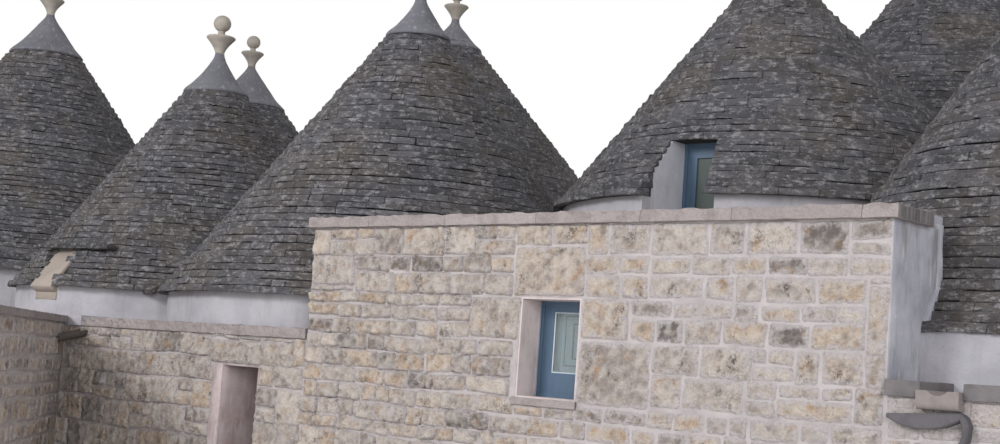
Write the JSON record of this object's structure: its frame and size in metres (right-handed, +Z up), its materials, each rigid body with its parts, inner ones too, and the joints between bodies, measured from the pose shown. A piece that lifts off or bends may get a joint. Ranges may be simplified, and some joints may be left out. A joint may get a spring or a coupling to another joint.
{
  "type": "trullo house",
  "caption": "Joined dry-stone trulli: hollow stone rooms under corbelled slab cones with plastered caps, round drums, a raised flat-roofed block, window and doorway.",
  "frame": {"origin": "middle of the raised block's street face, at ground level", "axes": "+X along the street wall to the right, +Y back into the house, +Z up"},
  "size_m": [27.75, 18.2207, 10.215],
  "materials": {
    "wall_stone": "rough pale limestone blocks in lime mortar",
    "inner_stone": "rubble limestone, limewashed inside",
    "roof_screed": "lime screed over stone",
    "coping_stone": "hammered limestone slabs",
    "roof_slabs": "weathered dry limestone slabs",
    "lime_plaster": "limewashed plaster",
    "finial_stone": "carved limestone",
    "blue_wood": "satin paint on timber",
    "pale_blue_wood": "faded satin paint on timber",
    "pane_glass": "clear"
  },
  "bodies": {
    "root": {"arch_wall_back": "inner_stone", "arch_wall_rear": "inner_stone", "arch_walls_front": "inner_stone", "back_roof": "roof_screed", "back_wall": "inner_stone", "block_coping": "coping_stone", "block_flank": "inner_stone", "block_roof": "roof_screed", "block_side_left": "inner_stone", "block_side_right": "inner_stone", "block_wall_above": "wall_stone", "block_wall_below": "wall_stone", "block_wall_piers": "wall_stone", "catch_stone": "coping_stone", "cone_a": "roof_slabs", "cone_a2": "roof_slabs", "cone_b": "roof_slabs", "cone_b2": "roof_slabs", "cone_c": "roof_slabs", "cone_d": "roof_slabs", "cone_e": "roof_slabs", "cone_f": "roof_slabs", "corner_mass": "inner_stone", "court_coping": "coping_stone", "court_wall": "wall_stone", "door_head_wall": "wall_stone", "dormer_cheek": "lime_plaster", "dormer_frame": "blue_wood", "dormer_leaf": "blue_wood", "dormer_pane": "pane_glass", "far_back_wall": "inner_stone", "far_left_wall": "wall_stone", "finial_stones": "finial_stone", "gutter_spout": "coping_stone", "inner_door_heads": "inner_stone", "left_coping": "coping_stone", "left_wall_piers": "wall_stone", "low_roof": "roof_screed", "low_side_walls": "inner_stone", "plaster_caps": "lime_plaster", "plaster_drums": "lime_plaster", "rear_back_wall": "inner_stone", "rear_front_wall": "inner_stone", "rear_roof": "roof_screed", "rear_side_walls": "inner_stone", "right_back_wall": "inner_stone", "right_end_wall": "inner_stone", "right_ledge": "coping_stone", "right_roof": "roof_screed", "right_wall": "wall_stone", "roof_kerb": "lime_plaster", "spout_stone": "coping_stone", "window_frame": "blue_wood", "window_glass": "pane_glass", "window_lining": "lime_plaster", "window_sash": "blue_wood", "window_shutter": "pale_blue_wood"}
  },
  "joints": []
}
